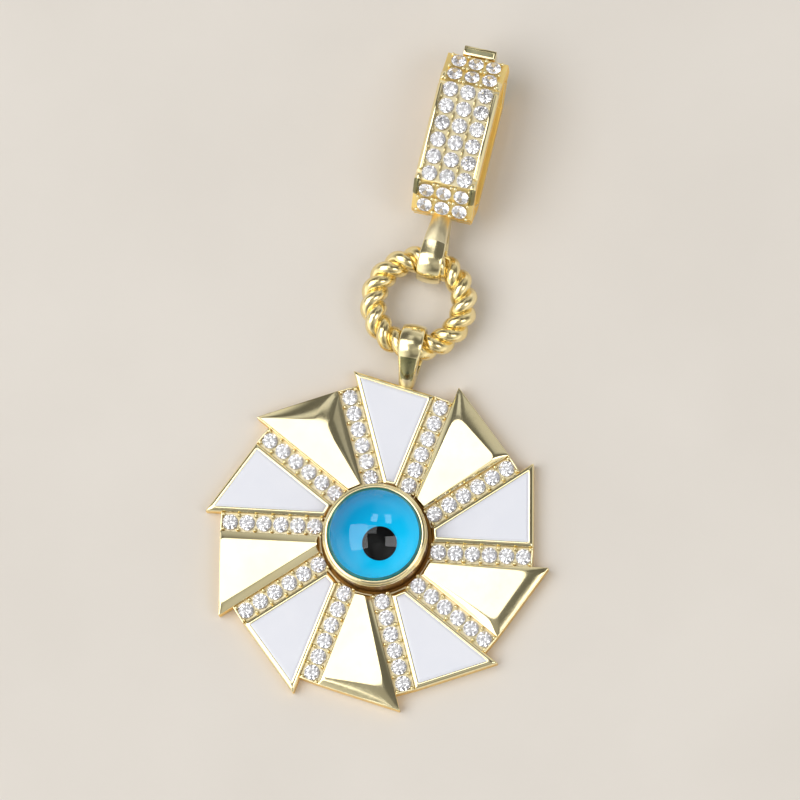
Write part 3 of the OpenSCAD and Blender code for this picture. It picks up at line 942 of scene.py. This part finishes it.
def addBead(bm, place, size):
    made = bmesh.ops.create_icosphere(bm, subdivisions=2, radius=1)
    for vert in made["verts"]:
        x, y, z = vert.co
        vert.co = (place @ Vector((x * size[0], y * size[1], z * size[2]))) * mm


def addStripGrains(bm, k):
    turn = Matrix.Rotation(stripTurn(k), 4, "Z")
    last = stones["perStrip"] - 1
    for i in range(-1, last + 1):
        along = stones["rowStart"] + (i + 0.5) * stones["step"]
        if i < 0:
            along += grain["innerShift"]
        if i == last:
            along += grain["outerShift"]
        for side in (-1, 1):
            spot = atStrip(k, along, -plate["stripWidth"] / 2 + side * grain["reach"]).to_3d()
            spot.z = plate["thick"] + grain["lift"]
            size = [full * dice.uniform(*share)
                    for full, share in zip(grain["size"], grain["shares"])]
            addBead(bm, Matrix.Translation(spot) @ turn, size)


def makeStripStones():
    grains = bmesh.new()
    for k in range(plate["blades"]):
        bm = bmesh.new()
        for place in stripPlaces(k):
            addStone(bm, Matrix.Translation(place + Vector((0, 0, stones["lift"]))))
        finishStones("stripStones_%d" % (k + 1), bm, "stone_row_%d" % (k + 1))
        addStripGrains(grains, k)
    return finishPiece("stripGrains", grains, [gold], sharp=80)


print("making the plate")
for made in (makeSlab(), makeBlades(), makeSetting(), makePlateLoop(), makeStripStones()):
    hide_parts("pinwheel")
print("making the eye, the enamel and the ring")
makeEye()
makeEnamel()
makeRope()


# Clasp

clasp = dict(
    pitch=1.47, columnPitch=1.47, stoneRoom=1.2, bendRoom=0.03, bed=6.1, lowSlope=50, farSlope=26,
    flatRows=6, bevelRows=2, loopEnd=0.72, farEnd=0.85, frontThick=0.95, endWall=1.0, split=2.9,
    railWidth=0.45, railHeight=0.4, railPlay=0.05, notch=0.25,
    lowRail=1.4, lowRailOver=0.5, farRail=0.85,
    knuckle=0.85, knuckleWidth=2.4, hingeZ=2.5, edgeRound=0.07,
)
clasp["rows"] = clasp["flatRows"] + 2 * clasp["bevelRows"]
clasp["bend"] = ((clasp["flatRows"] - 1) * clasp["pitch"] + clasp["stoneRoom"]) / 2
clasp["bend"] += clasp["bendRoom"]
lowTurn = math.radians(clasp["lowSlope"])
farTurn = math.radians(clasp["farSlope"])
lastRow = (clasp["rows"] - 1) * clasp["pitch"] / 2
lowRun = lastRow + clasp["loopEnd"] - clasp["bend"]
farRun = lastRow + clasp["farEnd"] - clasp["bend"]
clasp["lowY"] = clasp["bend"] + lowRun * math.cos(lowTurn)
clasp["farY"] = clasp["bend"] + farRun * math.cos(farTurn)
clasp["lowZ"] = clasp["bed"] - lowRun * math.sin(lowTurn)
clasp["farZ"] = clasp["bed"] - farRun * math.sin(farTurn)
clasp["width"] = 2 * clasp["columnPitch"] + clasp["stoneRoom"] + 2 * (
    clasp["railPlay"] + clasp["railWidth"])
clasp["hingeY"] = clasp["knuckle"] - clasp["lowY"]


def claspPlace():
    # the clasp's own axes, from the hinge of its gate
    joint = next(j for j in frame["joints"] if j["name"] == "gate_hinge")
    across = -Vector(joint["axis"]).normalized()
    up = Vector((0, 0, 1))
    along = up.cross(across)
    pin = Vector(joint["pos_m"]) / mm
    middle = pin - along * clasp["hingeY"] - up * clasp["hingeZ"]
    return Matrix.Translation(middle) @ Matrix((across, along, up)).transposed().to_4x4()


inClasp = claspPlace()
outOfClasp = inClasp.inverted()


def alongClasp(face):
    # how far a face lies along the clasp, from its middle
    return (outOfClasp @ (face.center / mm)).y


def onBed(x, s):
    # a place on the stone bed at the distance s along it from its middle
    side = 1 if s >= 0 else -1
    past = max(0, abs(s) - clasp["bend"])
    slope = 0
    if past > 0:
        slope = farTurn if side > 0 else lowTurn
    spot = Vector((
        x,
        side * (min(abs(s), clasp["bend"]) + past * math.cos(slope)),
        clasp["bed"] - past * math.sin(slope),
    ))
    return inClasp @ Matrix.Translation(spot) @ Matrix.Rotation(-side * slope, 4, "X")


def onHinge():
    # an axis along the hinge of the gate
    middle = Matrix.Translation((0, clasp["hingeY"], clasp["hingeZ"]))
    return inClasp @ middle @ Matrix.Rotation(math.pi / 2, 4, "Y")


def claspStonePlaces():
    places = []
    for row in range(clasp["rows"]):
        for column in (-1, 0, 1):
            s = (row - (clasp["rows"] - 1) / 2) * clasp["pitch"]
            places.append(onBed(column * clasp["columnPitch"], s))
    return places


bevels = dict(segments=3, fromAngle=20)


def prism(name, outline, width, body, edgeRound):
    # an outline in the clasp's (Y, Z), as wide as told, with rounded edges
    bm = bmesh.new()
    rings = [[inClasp @ Vector((x, p[0], p[1])) for p in outline]
             for x in (-width / 2, width / 2)]
    ringStack(bm, rings)
    piece = finishPiece(name, bm, claspGolds, body)
    bevel = piece.modifiers.new("edges", "BEVEL")
    bevel.width = edgeRound * mm
    bevel.segments = bevels["segments"]
    bevel.limit_method = "ANGLE"
    bevel.angle_limit = math.radians(bevels["fromAngle"])
    applyModifiers(piece)
    return piece


def frontOutline():
    part = clasp
    lowBendIn = part["bend"] - part["frontThick"] * math.tan(lowTurn / 2)
    farBendIn = part["bend"] - part["frontThick"] * math.tan(farTurn / 2)
    innerZ = part["bed"] - part["frontThick"]
    lowInY = part["lowY"] - part["endWall"]
    farInY = part["farY"] - part["endWall"]
    lowInZ = innerZ - (lowInY - lowBendIn) * math.tan(lowTurn)
    farInZ = innerZ - (farInY - farBendIn) * math.tan(farTurn)
    return [
        (-part["lowY"], part["split"]), (-part["lowY"], part["lowZ"]),
        (-part["bend"], part["bed"]), (part["bend"], part["bed"]),
        (part["farY"], part["farZ"]), (part["farY"], part["split"]),
        (farInY, part["split"]), (farInY, farInZ), (farBendIn, innerZ),
        (-lowBendIn, innerZ), (-lowInY, lowInZ), (-lowInY, part["split"]),
    ]


rails = dict(
    lowest=0.1, footIn=0.02, chamfer=0.2, chamferDrop=0.17, edge=0.03, shadeFrom=0.05, endSteps=12,
)


def addRail(bm, x, s1, s2):
    # a rail on the bed, with round ends and a broad chamfer along its outer side
    half = clasp["railWidth"] / 2
    reach = (s2 - s1) / 2 - half
    place = onBed(x, (s1 + s2) / 2)
    inwards = -1 if x > 0 else 1

    def stadium(inset, shift):
        r = half - inset
        ring = []
        for end in (1, -1):
            for i in range(rails["endSteps"] + 1):
                a = math.pi * i / rails["endSteps"]
                ring.append(Vector((end * r * math.cos(a) + inwards * shift,
                                    end * (reach + r * math.sin(a)))))
        return ring

    top = clasp["railHeight"]
    chamfer = rails["chamfer"] / 2
    edge, footIn = rails["edge"], rails["footIn"]
    low = top - rails["chamferDrop"]
    profile = [  # (inset, shift, height)
        (footIn, 0, -rails["lowest"] - footIn), (0, 0, -rails["lowest"]),
        (0, 0, low - edge), (midRound * edge, midRound * edge, low),
        (chamfer, chamfer, top - edge), (chamfer + edge, chamfer, top),
    ]
    ringStack(bm, [atHeight(stadium(inset, shift), z) for inset, shift, z in profile], place)


bedFaces = dict(lowest=0.05, slack=0.05, level=0.95)  # which faces of the front are its bed


def makeFront():
    front = prism("claspFront", frontOutline(), clasp["width"], "pendant", clasp["edgeRound"])
    cutters = bmesh.new()
    for place in claspStonePlaces():
        seatCutter(cutters, place)
    cutOut(front, cutters)
    lowest = (clasp["lowZ"] + bedFaces["lowest"]) * mm
    steepest = math.cos(lowTurn) - bedFaces["slack"]
    for face in front.data.polygons:
        finish = gold
        if face.normal.z > steepest and face.center.z > lowest:
            # bed faces on the bent ends take the painted glow
            finish = slopeGlowGold if face.normal.z < bedFaces["level"] else castGold
        giveFinish(front, face, finish)
    paintWallReflection(front, gateSideGlowGold)
    markSharp(front)
    bm = bmesh.new()
    railX = (clasp["width"] - clasp["railWidth"]) / 2
    half = clasp["railWidth"] / 2
    bend, notch, over = clasp["bend"], clasp["notch"], clasp["lowRailOver"]
    for x in (-railX, railX):
        addRail(bm, x, -bend + over + notch, bend - notch)
        addRail(bm, x, -bend - half, -bend + over)  # the short rail, bent over to the slope
        addRail(bm, x, -bend - clasp["lowRail"], -bend + half)
        addRail(bm, x, bend, bend + clasp["farRail"])
    railPiece = finishPiece("claspRails", bm, claspGolds, sharp=60)
    for face in railPiece.data.polygons:
        if alongClasp(face) < -bend - rails["shadeFrom"]:
            giveFinish(railPiece, face, shadeGold)  # painted dark reflection on the low ends
    return front, railPiece


claspLoop = dict(
    reach=4.4, eyeRadius=1.46, thick=0.45, solid=1.0, narrowRadius=0.35,
    width=2.0, footWidth=1.5, bulge=0.2, frosted=0.7,
    knuckleEdge=((0.08, 0), (0.02, 0.03), (0, 0.08)),  # (in from the radius, in from the end)
    knuckleSteps=48,
)


def makeClaspLoop():
    part = claspLoop
    outerRadius = part["eyeRadius"] + part["thick"]
    hinge = Vector((clasp["hingeY"], clasp["hingeZ"]))
    eye = Vector((clasp["hingeY"] - part["reach"], outerRadius))
    narrow = eye + (hinge - eye).normalized() * (part["reach"] - clasp["knuckle"] - part["solid"])
    outer = roundEnded(eye, outerRadius, hinge, clasp["knuckle"], (0, part["bulge"]))
    inner = roundEnded(eye, part["eyeRadius"], narrow, part["narrowRadius"])

    def halfWidth(y):
        return mix(part["width"], part["footWidth"], smoothStep(eye.x, hinge.x, y)) / 2

    bm = bmesh.new()
    strapLoop(bm, outer, inner, halfWidth, inClasp)
    half = clasp["knuckleWidth"] / 2
    edge = [(clasp["knuckle"] - into, half - back) for into, back in part["knuckleEdge"]]
    profile = [(0, -half)] + [(r, -x) for r, x in edge] + edge[::-1] + [(0, half)]
    lathe(bm, profile, part["knuckleSteps"], onHinge())
    piece = finishPiece("claspLoop", bm, [loopGold, castGold], sharp=60)
    start = hinge.x - part["frosted"] * part["reach"]
    for face in piece.data.polygons:
        if alongClasp(face) > start:
            giveFinish(piece, face, castGold)  # the end at the clasp isn't polished
    return piece


beads = dict(
    dash=(0.1, 0.42, 0.28), round=(0.18, 0.18, 0.2), tooth=(0.14, 0.17, 0.2),
    lift=0.18, pairApart=0.17, endShare=0.975, toothIn=0.02,
)


def makeClaspGrains():
    bm = bmesh.new()
    side = clasp["columnPitch"] / 2
    edge = clasp["width"] / 2 - clasp["railWidth"] - beads["toothIn"]
    apart = beads["pairApart"]
    lift = Matrix.Translation((0, 0, beads["lift"]))
    for row in range(-1, clasp["rows"]):
        s = (row + 0.5 - (clasp["rows"] - 1) / 2) * clasp["pitch"]
        onFlat = abs(s) < clasp["bend"]
        atEnd = row in (-1, clasp["rows"] - 1)
        if atEnd:
            s *= beads["endShare"]
        for x in (-side, side):
            if onFlat:
                addBead(bm, onBed(x, s) @ lift, beads["dash"])
            elif atEnd:
                addBead(bm, onBed(x, s) @ lift, beads["round"])
            else:
                for shift in (-apart, apart):
                    addBead(bm, onBed(x + shift, s) @ lift, beads["round"])
        for x in (-edge, edge):
            addBead(bm, onBed(x, s) @ lift, beads["tooth"])
    return finishPiece("claspGrains", bm, [gold], sharp=80)


def makeClaspStones():
    bm = bmesh.new()
    for place in claspStonePlaces():
        addStone(bm, place @ Matrix.Translation((0, 0, stones["lift"])))
    finishStones("claspStones", bm, "clasp_stones")


gate = dict(
    width=4.9, thick=0.8, slope=2.2, lowY=1.08, gap=0.1, outAngle=45, inAngle=20,
    slot=0.4, earPlay=0.05, earSteps=14, edgeRound=0.1,
)


def gateOutline():
    hy, hz, r = clasp["hingeY"], clasp["hingeZ"], clasp["knuckle"]
    out = math.radians(gate["outAngle"])
    into = math.radians(gate["inAngle"])
    lowY = hy + gate["lowY"]
    farY = clasp["farY"] - gate["slope"]
    wallY = clasp["farY"] - clasp["endWall"]
    half = gate["thick"] / 2
    points = [
        (lowY, 0), (farY, 0), (clasp["farY"], gate["slope"]),
        (clasp["farY"], clasp["split"] - gate["gap"]), (wallY, clasp["split"] - gate["gap"]),
        (wallY, gate["slope"] + half), (farY - half, gate["thick"]), (lowY + half, gate["thick"]),
    ]
    steps = gate["earSteps"]
    for i in range(steps + 1):  # round the outside of the ears
        a = mix(-into, math.pi + out, i / steps)
        points.append((hy + r * math.cos(a), hz + r * math.sin(a)))
    return points


def cutBox(piece, box, bottom, top):
    bm = bmesh.new()
    ringStack(bm, [atHeight(box, bottom), atHeight(box, top)], inClasp)
    cutOut(piece, bm)


def makeGate():
    body = prism("claspGate", gateOutline(), gate["width"], "gate", gate["edgeRound"])
    half = clasp["knuckleWidth"] / 2 + gate["earPlay"]
    slotY = clasp["hingeY"] + gate["lowY"] + gate["slot"]
    slot = rectangle(half, -clasp["lowY"] - cutThrough, slotY)
    cutBox(body, slot, -cutThrough, clasp["hingeZ"] + 2 * cutThrough)
    for face in body.data.polygons:
        if face.normal.z > levelRise:
            giveFinish(body, face, gateSideGlowGold)  # the inside isn't polished; it takes the painted glow of the sides
    paintWallReflection(body, gateSideGlowGold)
    markSharp(body)
    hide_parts("clasp_gate")


nailTab = dict(
    width=2.7, reach=0.9, root=0.5, foot=0.1, edgeRound=0.07, border=0.2, deep=0.09, level=0.9,
)


def makeNailTab():
    part = nailTab
    start, top = clasp["farY"], clasp["farZ"]
    low, high = gate["slope"], clasp["split"] - gate["gap"]
    root, near, end = start - part["root"], start + gate["gap"], start + part["reach"]
    tab = prism("nailTab", [
        (root, low), (start + part["foot"], low), (end, low + part["reach"]), (end, top),
        (near, top), (near, high), (root, high),
    ], part["width"], "gate", part["edgeRound"])
    border, deep = part["border"], part["deep"]
    middle = rectangle(part["width"] / 2 - border, near + border, end - border)
    cutBox(tab, middle, top - deep, top + cutThrough)
    for face in tab.data.polygons:
        if face.normal.z > part["level"] and face.center.z < (top - deep / 2) * mm:
            giveFinish(tab, face, roughShadeGold)  # the sunk, rough middle, dark with painted shade
    markSharp(tab)
    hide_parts("clasp_gate")


pin = dict(radius=0.4, overlap=0.02, roundOff=0.06, steps=40)


def makePin():
    half = gate["width"] / 2 + pin["overlap"]
    r, turn = pin["radius"], pin["roundOff"]
    out = (1 - midRound) * turn
    bm = bmesh.new()
    lathe(bm, [(0, -half - turn), (r - turn, -half - out), (r, -half),
               (r, half), (r - turn, half + out), (0, half + turn)], pin["steps"], onHinge())
    piece = finishPiece("hingePin", bm, [gold], "gate", sharp=50)
    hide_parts("hinge_pin")


print("making the clasp")
for made in (*makeFront(), makeClaspLoop(), makeClaspGrains()):
    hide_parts("clasp_front")
makeClaspStones()
makeGate()
makeNailTab()
makePin()


# Floor, lights and camera

floorLook = dict(  # its size is in metres
    size=3.0, drop=0.02, light=(0.81, 0.76, 0.70), deep=(0.78, 0.73, 0.67), dull=0.9,
)


def makeFloor():
    half = floorLook["size"] / 2
    corners = atHeight(rectangle(half, -half, half), -floorLook["drop"] * mm)
    mesh = bpy.data.meshes.new("floor")
    mesh.from_pydata(corners, [], [(0, 1, 2, 3)])
    floor = addObject("floor", mesh)
    material, tree, bsdf = newMaterial("paleFloor")
    stops = [(0.35, floorLook["deep"]), (0.65, floorLook["light"])]
    cloud = addNoise(tree, perMm=0.05, detail=4)
    rampBetween(tree, cloud, bsdf.inputs["Base Color"], stops)
    bsdf.inputs["Roughness"].default_value = floorLook["dull"]
    waves = addNoise(tree, perMm=2, detail=4)
    addBump(tree, bsdf, waves, height=0.03, strength=0.3)
    mesh.materials.append(material)


lights = dict(
    distance=1.0,
    boxes=[  # direction, direction of the long side, width, height, brightness
        dict(name="softbox", towards=(-0.553, -0.145, 0.82), side=(0.814, 0.124, 0.567),
             width=0.72, height=0.94, bright=2.7),
        dict(name="softboxEnd", towards=(-0.15, 0.176, 0.973), side=(0.975, 0.187, 0.118),
             width=0.38, height=0.30, bright=1.75),
        dict(name="stripLeft", towards=(-0.13, 0.591, 0.796), side=(0.99, 0.034, 0.137),
             width=0.24, height=0.33, bright=0.6),
        dict(name="stripRight", towards=(0.319, 0.63, 0.708), side=(0.89, 0.056, -0.452),
             width=0.24, height=0.38, bright=0.22),
        dict(name="rightBox", towards=(0.585, -0.097, 0.805), side=(0.796, 0.264, -0.545),
             width=0.42, height=0.36, bright=3.0),
        dict(name="markLeft", towards=(-0.12, 0.567, 0.815), side=(0.99, 0.034, 0.137),
             width=0.2, height=0.3, bright=2.8, distance=0.95, only="eyeGlass"),
        dict(name="markRight", towards=(0.309, 0.618, 0.723), side=(0.89, 0.056, -0.452),
             width=0.2, height=0.34, bright=2.8, distance=0.95, only="eyeGlass"),
    ],
    room=0.13,  # brightness of the dark parts of the room
    tint=(1.0, 0.99, 0.95),
    horizon=0.6,  # brightness down at the walls, fading out with height
    horizonFoot=0.1, horizonTop=0.5,
    glows=[  # soft bright parts of the room: direction, inner and outer half width in degrees
        dict(towards=(-0.75, -0.6, 0.3), inner=15, outer=40, bright=0.7),
        dict(towards=(0, -0.25, 0.97), inner=8, outer=22, bright=0.2),
        dict(towards=(0.9, -0.35, 0.35), inner=10, outer=40, bright=0.5),
        dict(towards=(0.35, -0.5, 0.8), inner=8, outer=25, bright=0.28),
        dict(towards=(-0.35, -0.7, 0.62), inner=8, outer=25, bright=0.4),
        dict(towards=(0.2, 0.85, 0.47), inner=10, outer=30, bright=0.4),
    ],
)


def addLamp(box):
    data = bpy.data.lights.new(box["name"], "AREA")
    data.shape = "RECTANGLE"
    distance = box.get("distance", lights["distance"])
    data.size = box["width"] * distance
    data.size_y = box["height"] * distance
    data.energy = box["bright"] * math.pi * data.size * data.size_y
    lamp = addObject(box["name"], data)
    towards = Vector(box["towards"]).normalized()
    side = Vector(box["side"])
    side = (side - towards * side.dot(towards)).normalized()
    turn = Matrix((side, towards.cross(side), towards)).transposed()
    lamp.matrix_world = Matrix.Translation(towards * distance) @ turn.to_4x4()
    if "only" in box:  # a small light for one piece alone
        lit = bpy.data.collections.new(box["name"])
        lit.objects.link(bpy.data.objects[box["only"]])
        lamp.light_linking.receiver_collection = lit


def makeRoom():
    world = bpy.data.worlds.new("room")
    world.use_nodes = True
    tree = world.node_tree
    way = tree.nodes.new("ShaderNodeTexCoord").outputs["Generated"]

    def fade(source, start, end, bright):
        change = tree.nodes.new("ShaderNodeMapRange")
        change.interpolation_type = "SMOOTHSTEP"
        change.inputs["From Min"].default_value = start
        change.inputs["From Max"].default_value = end
        change.inputs["To Max"].default_value = bright
        tree.links.new(source, change.inputs["Value"])
        return change.outputs["Result"]

    split = tree.nodes.new("ShaderNodeSeparateXYZ")
    tree.links.new(way, split.inputs["Vector"])
    parts = [fade(split.outputs["Z"], lights["horizonTop"], lights["horizonFoot"],
                  lights["horizon"])]
    for glow in lights["glows"]:
        dot = tree.nodes.new("ShaderNodeVectorMath")
        dot.operation = "DOT_PRODUCT"
        dot.inputs[1].default_value = Vector(glow["towards"]).normalized()
        tree.links.new(way, dot.inputs[0])
        outer = math.cos(math.radians(glow["outer"]))
        inner = math.cos(math.radians(glow["inner"]))
        parts.append(fade(dot.outputs["Value"], outer, inner, glow["bright"]))
    total = None
    for part in parts:
        add = tree.nodes.new("ShaderNodeMath")
        if total:
            tree.links.new(total, add.inputs[0])
        else:
            add.inputs[0].default_value = lights["room"]
        tree.links.new(part, add.inputs[1])
        total = add.outputs["Value"]
    back = tree.nodes["Background"]
    back.inputs["Color"].default_value = (*lights["tint"], 1)
    tree.links.new(total, back.inputs["Strength"])
    bpy.context.scene.world = world


def makeLights():
    for box in lights["boxes"]:
        addLamp(box)
    makeRoom()
    bpy.context.scene.view_settings.view_transform = "Standard"


camera = dict(
    place=(37.42, -64.89, 360.55),
    turn=(12.870, 3.638, 10.644),  # degrees about X, Y and Z
    lens=202.5, sensor=36,
    nearest=0.01, farthest=20,  # metres
)


def makeCamera():
    data = bpy.data.cameras.new("camera")
    data.lens = camera["lens"]
    data.sensor_width = camera["sensor"]
    data.clip_start = camera["nearest"]
    data.clip_end = camera["farthest"]
    made = addObject("camera", data)
    made.location = Vector(camera["place"]) * mm
    made.rotation_euler = [math.radians(a) for a in camera["turn"]]
    bpy.context.scene.camera = made


makeFloor()
makeLights()
makeCamera()
print("floor, lights and camera placed")
